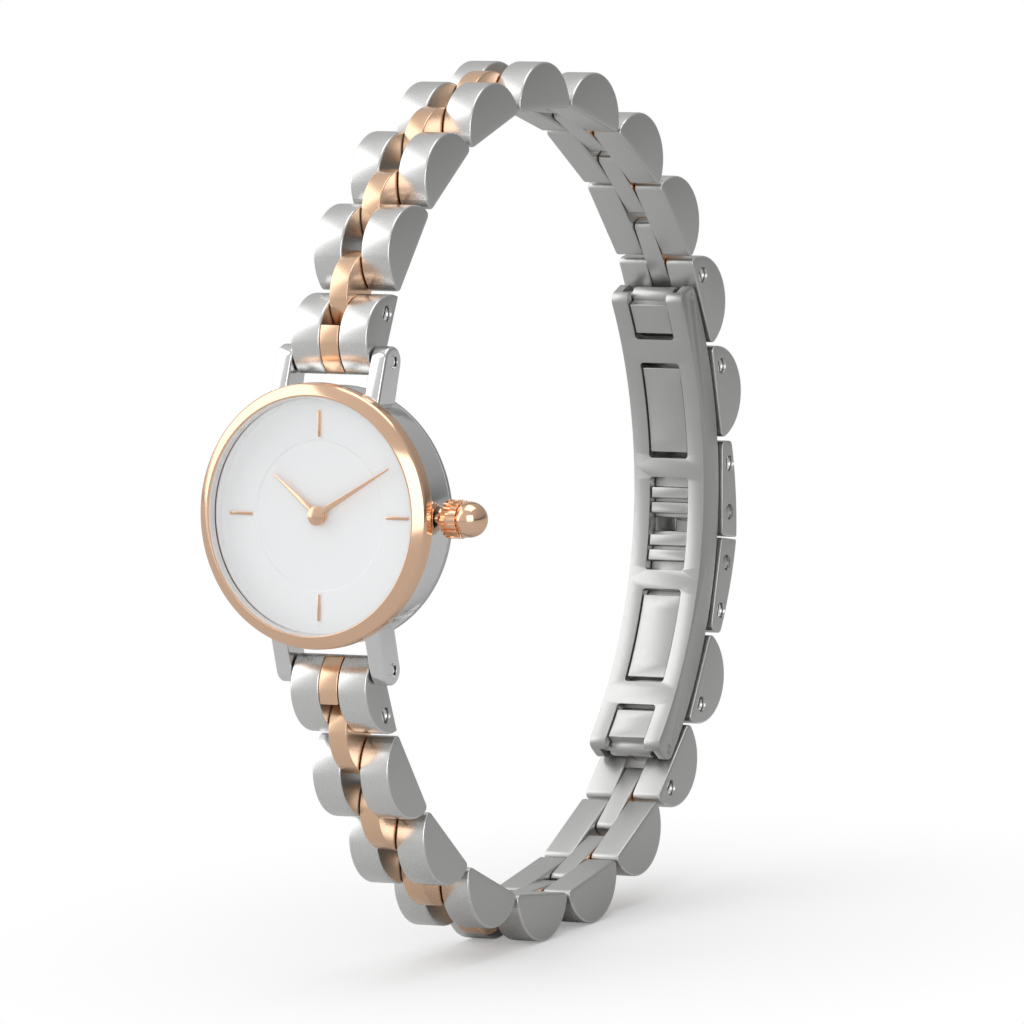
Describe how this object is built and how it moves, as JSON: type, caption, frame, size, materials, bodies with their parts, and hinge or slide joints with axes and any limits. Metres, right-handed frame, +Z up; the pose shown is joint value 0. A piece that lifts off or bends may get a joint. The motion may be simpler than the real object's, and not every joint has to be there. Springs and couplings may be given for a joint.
{
  "type": "bracelet watch",
  "caption": "Small round watch with crown, domed half-round link bracelet in two metals and a double folding clasp, closed into a loop.",
  "frame": {"origin": "under the middle of the watch's box, on the surface it stands on", "axes": "+X across the bracelet towards the crown, -Y the way the dial faces, leaning back about 7 degrees, +Z up"},
  "size_m": [0.0236, 0.0596, 0.0669],
  "materials": {
    "polished_steel": "polished and satin steel",
    "brushed_clasp_steel": "brushed steel",
    "inner_steel": "turned steel",
    "rose_gold": "polished rose gold plating",
    "mineral_glass": "clear",
    "white_dial": "satin white lacquer",
    "seal": "matte",
    "movement_brass": "plated plates"
  },
  "bodies": {
    "upper_00": {"upper_end_insert": "rose_gold", "upper_side_links_00": "polished_steel", "upper_centre_link_00": "rose_gold"},
    "upper_01": {"upper_side_links_01": "polished_steel", "upper_centre_link_01": "rose_gold"},
    "upper_02": {"upper_side_links_02": "polished_steel", "upper_centre_link_02": "rose_gold"},
    "upper_03": {"upper_side_links_03": "polished_steel", "upper_centre_link_03": "rose_gold"},
    "upper_04": {"upper_side_links_04": "polished_steel", "upper_centre_link_04": "rose_gold"},
    "upper_05": {"upper_side_links_05": "polished_steel", "upper_centre_link_05": "rose_gold"},
    "upper_06": {"upper_side_links_06": "polished_steel", "upper_centre_link_06": "rose_gold"},
    "upper_07": {"upper_side_links_07": "polished_steel", "upper_centre_link_07": "rose_gold"},
    "upper_08": {"upper_side_links_08": "polished_steel", "upper_centre_link_08": "rose_gold"},
    "upper_09": {"upper_side_links_09": "polished_steel", "upper_centre_link_09": "rose_gold"},
    "upper_10": {"upper_side_links_10": "polished_steel"},
    "lower_00": {"lower_end_insert": "rose_gold", "lower_side_links_00": "polished_steel", "lower_centre_link_00": "rose_gold"},
    "lower_01": {"lower_side_links_01": "polished_steel", "lower_centre_link_01": "rose_gold"},
    "lower_02": {"lower_side_links_02": "polished_steel", "lower_centre_link_02": "rose_gold"},
    "lower_03": {"lower_side_links_03": "polished_steel", "lower_centre_link_03": "rose_gold"},
    "lower_04": {"lower_side_links_04": "polished_steel", "lower_centre_link_04": "rose_gold"},
    "lower_05": {"lower_side_links_05": "polished_steel", "lower_centre_link_05": "rose_gold"},
    "lower_06": {"lower_side_links_06": "polished_steel", "lower_centre_link_06": "rose_gold"},
    "lower_07": {"lower_side_links_07": "polished_steel", "lower_centre_link_07": "rose_gold"},
    "lower_08": {"lower_side_links_08": "polished_steel", "lower_centre_link_08": "rose_gold"},
    "lower_09": {"lower_side_links_09": "polished_steel"},
    "clasp_channel": {"clasp_channel": "brushed_clasp_steel"},
    "clasp_upper_arm": {"clasp_upper_arm": "brushed_clasp_steel"},
    "clasp_lower_arm": {"clasp_lower_arm": "brushed_clasp_steel"},
    "case": {"bezel": "rose_gold", "crystal": "mineral_glass", "case_gaskets": "seal", "case_band": "polished_steel", "caseback": "polished_steel", "spring_bars": "inner_steel", "dial": "white_dial", "hour_markers": "rose_gold", "movement": "movement_brass", "battery": "inner_steel"},
    "hour_hand": {"hour_hand": "rose_gold"},
    "minute_hand": {"minute_hand": "rose_gold"},
    "crown": {"crown": "rose_gold", "crown_stem": "inner_steel"},
    "setting_sleeve": {"setting_sleeve": "inner_steel"}
  },
  "joints": [
    {"name": "bracelet_open", "type": "hinge", "parent": "case", "child": "upper_00", "pos_m": [-0.00178, -0.02307, 0.04794], "axis": [1, 0, 0], "range_deg": [0, 8]},
    {"name": "upper_pivot_01", "type": "hinge", "parent": "upper_00", "child": "upper_01", "pos_m": [-0.00178, -0.01885, 0.05444], "axis": [1, 0, 0], "range_deg": [0, 8]},
    {"name": "upper_pivot_02", "type": "hinge", "parent": "upper_01", "child": "upper_02", "pos_m": [-0.00178, -0.01316, 0.0597], "axis": [1, 0, 0], "range_deg": [0, 8]},
    {"name": "upper_pivot_03", "type": "hinge", "parent": "upper_02", "child": "upper_03", "pos_m": [-0.00178, -0.00626, 0.06319], "axis": [1, 0, 0], "range_deg": [0, 8]},
    {"name": "upper_pivot_04", "type": "hinge", "parent": "upper_03", "child": "upper_04", "pos_m": [-0.00178, 0.00137, 0.06442], "axis": [1, 0, 0], "range_deg": [0, 8]},
    {"name": "upper_pivot_05", "type": "hinge", "parent": "upper_04", "child": "upper_05", "pos_m": [-0.00178, 0.00898, 0.06313], "axis": [1, 0, 0], "range_deg": [0, 8]},
    {"name": "upper_pivot_06", "type": "hinge", "parent": "upper_05", "child": "upper_06", "pos_m": [-0.00178, 0.01579, 0.05947], "axis": [1, 0, 0], "range_deg": [0, 8]},
    {"name": "upper_pivot_07", "type": "hinge", "parent": "upper_06", "child": "upper_07", "pos_m": [-0.00178, 0.02121, 0.05395], "axis": [1, 0, 0], "range_deg": [0, 8]},
    {"name": "upper_pivot_08", "type": "hinge", "parent": "upper_07", "child": "upper_08", "pos_m": [-0.00178, 0.02497, 0.04717], "axis": [1, 0, 0], "range_deg": [0, 8]},
    {"name": "upper_pivot_09", "type": "hinge", "parent": "upper_08", "child": "upper_09", "pos_m": [-0.00178, 0.02699, 0.03967], "axis": [1, 0, 0], "range_deg": [0, 8]},
    {"name": "upper_pivot_10", "type": "hinge", "parent": "upper_09", "child": "upper_10", "pos_m": [-0.00178, 0.02728, 0.03191], "axis": [1, 0, 0], "range_deg": [0, 8]},
    {"name": "lower_pivot_00", "type": "hinge", "parent": "case", "child": "lower_00", "pos_m": [-0.00178, -0.02593, 0.02501], "axis": [-1, 0, 0], "range_deg": [0, 8]},
    {"name": "lower_pivot_01", "type": "hinge", "parent": "lower_00", "child": "lower_01", "pos_m": [-0.00178, -0.02345, 0.01767], "axis": [-1, 0, 0], "range_deg": [0, 8]},
    {"name": "lower_pivot_02", "type": "hinge", "parent": "lower_01", "child": "lower_02", "pos_m": [-0.00178, -0.01923, 0.01117], "axis": [-1, 0, 0], "range_deg": [0, 8]},
    {"name": "lower_pivot_03", "type": "hinge", "parent": "lower_02", "child": "lower_03", "pos_m": [-0.00178, -0.0134, 0.00609], "axis": [-1, 0, 0], "range_deg": [0, 8]},
    {"name": "lower_pivot_04", "type": "hinge", "parent": "lower_03", "child": "lower_04", "pos_m": [-0.00178, -0.00631, 0.00302], "axis": [-1, 0, 0], "range_deg": [0, 8]},
    {"name": "lower_pivot_05", "type": "hinge", "parent": "lower_04", "child": "lower_05", "pos_m": [-0.00178, 0.00138, 0.0024], "axis": [-1, 0, 0], "range_deg": [0, 8]},
    {"name": "lower_pivot_06", "type": "hinge", "parent": "lower_05", "child": "lower_06", "pos_m": [-0.00178, 0.00888, 0.00427], "axis": [-1, 0, 0], "range_deg": [0, 8]},
    {"name": "lower_pivot_07", "type": "hinge", "parent": "lower_06", "child": "lower_07", "pos_m": [-0.00178, 0.0155, 0.00828], "axis": [-1, 0, 0], "range_deg": [0, 8]},
    {"name": "lower_pivot_08", "type": "hinge", "parent": "lower_07", "child": "lower_08", "pos_m": [-0.00178, 0.02082, 0.01393], "axis": [-1, 0, 0], "range_deg": [0, 8]},
    {"name": "lower_pivot_09", "type": "hinge", "parent": "lower_08", "child": "lower_09", "pos_m": [-0.00178, 0.02462, 0.02069], "axis": [-1, 0, 0], "range_deg": [0, 8]},
    {"name": "lower_arm_pivot", "type": "hinge", "parent": "lower_09", "child": "clasp_lower_arm", "pos_m": [-0.00178, 0.02589, 0.02427], "axis": [-1, 0, 0], "range_deg": [0, 100]},
    {"name": "channel_pivot", "type": "hinge", "parent": "clasp_lower_arm", "child": "clasp_channel", "pos_m": [-0.00178, 0.01586, 0.01128], "axis": [1, 0, 0], "range_deg": [0, 100]},
    {"name": "upper_arm_pivot", "type": "hinge", "parent": "clasp_channel", "child": "clasp_upper_arm", "pos_m": [-0.00178, 0.02332, 0.04567], "axis": [1, 0, 0], "range_deg": [0, 100]},
    {"name": "crown_pull", "type": "slide", "parent": "case", "child": "setting_sleeve", "axis": [1, 0, 0], "range_m": [0, 0.0008]},
    {"name": "crown_turn", "type": "hinge", "parent": "setting_sleeve", "child": "crown", "pos_m": [0.00817, -0.02549, 0.0366], "axis": [1, 0, 0], "continuous": true},
    {"name": "minute_turn", "type": "hinge", "parent": "case", "child": "minute_hand", "pos_m": [-0.00178, -0.02713, 0.0368], "axis": [0, 0.9923, -0.1241], "continuous": true},
    {"name": "hour_turn", "type": "hinge", "parent": "case", "child": "hour_hand", "pos_m": [-0.00178, -0.02713, 0.0368], "axis": [0, 0.9923, -0.1241], "continuous": true}
  ],
  "couplings": [
    {"joint": "upper_pivot_01", "follows": "bracelet_open", "ratio": 1},
    {"joint": "upper_pivot_02", "follows": "bracelet_open", "ratio": 1},
    {"joint": "upper_pivot_03", "follows": "bracelet_open", "ratio": 1},
    {"joint": "upper_pivot_04", "follows": "bracelet_open", "ratio": 1},
    {"joint": "upper_pivot_05", "follows": "bracelet_open", "ratio": 1},
    {"joint": "upper_pivot_06", "follows": "bracelet_open", "ratio": 1},
    {"joint": "upper_pivot_07", "follows": "bracelet_open", "ratio": 1},
    {"joint": "upper_pivot_08", "follows": "bracelet_open", "ratio": 1},
    {"joint": "upper_pivot_09", "follows": "bracelet_open", "ratio": 1},
    {"joint": "upper_pivot_10", "follows": "bracelet_open", "ratio": 1},
    {"joint": "lower_pivot_00", "follows": "bracelet_open", "ratio": 1},
    {"joint": "lower_pivot_01", "follows": "bracelet_open", "ratio": 1},
    {"joint": "lower_pivot_02", "follows": "bracelet_open", "ratio": 1},
    {"joint": "lower_pivot_03", "follows": "bracelet_open", "ratio": 1},
    {"joint": "lower_pivot_04", "follows": "bracelet_open", "ratio": 1},
    {"joint": "lower_pivot_05", "follows": "bracelet_open", "ratio": 1},
    {"joint": "lower_pivot_06", "follows": "bracelet_open", "ratio": 1},
    {"joint": "lower_pivot_07", "follows": "bracelet_open", "ratio": 1},
    {"joint": "lower_pivot_08", "follows": "bracelet_open", "ratio": 1},
    {"joint": "lower_pivot_09", "follows": "bracelet_open", "ratio": 1},
    {"joint": "lower_arm_pivot", "follows": "bracelet_open", "ratio": 12.5},
    {"joint": "channel_pivot", "follows": "bracelet_open", "ratio": 12.5},
    {"joint": "upper_arm_pivot", "follows": "bracelet_open", "ratio": 12.5},
    {"joint": "hour_turn", "follows": "minute_turn", "ratio": 0.083333}
  ]
}
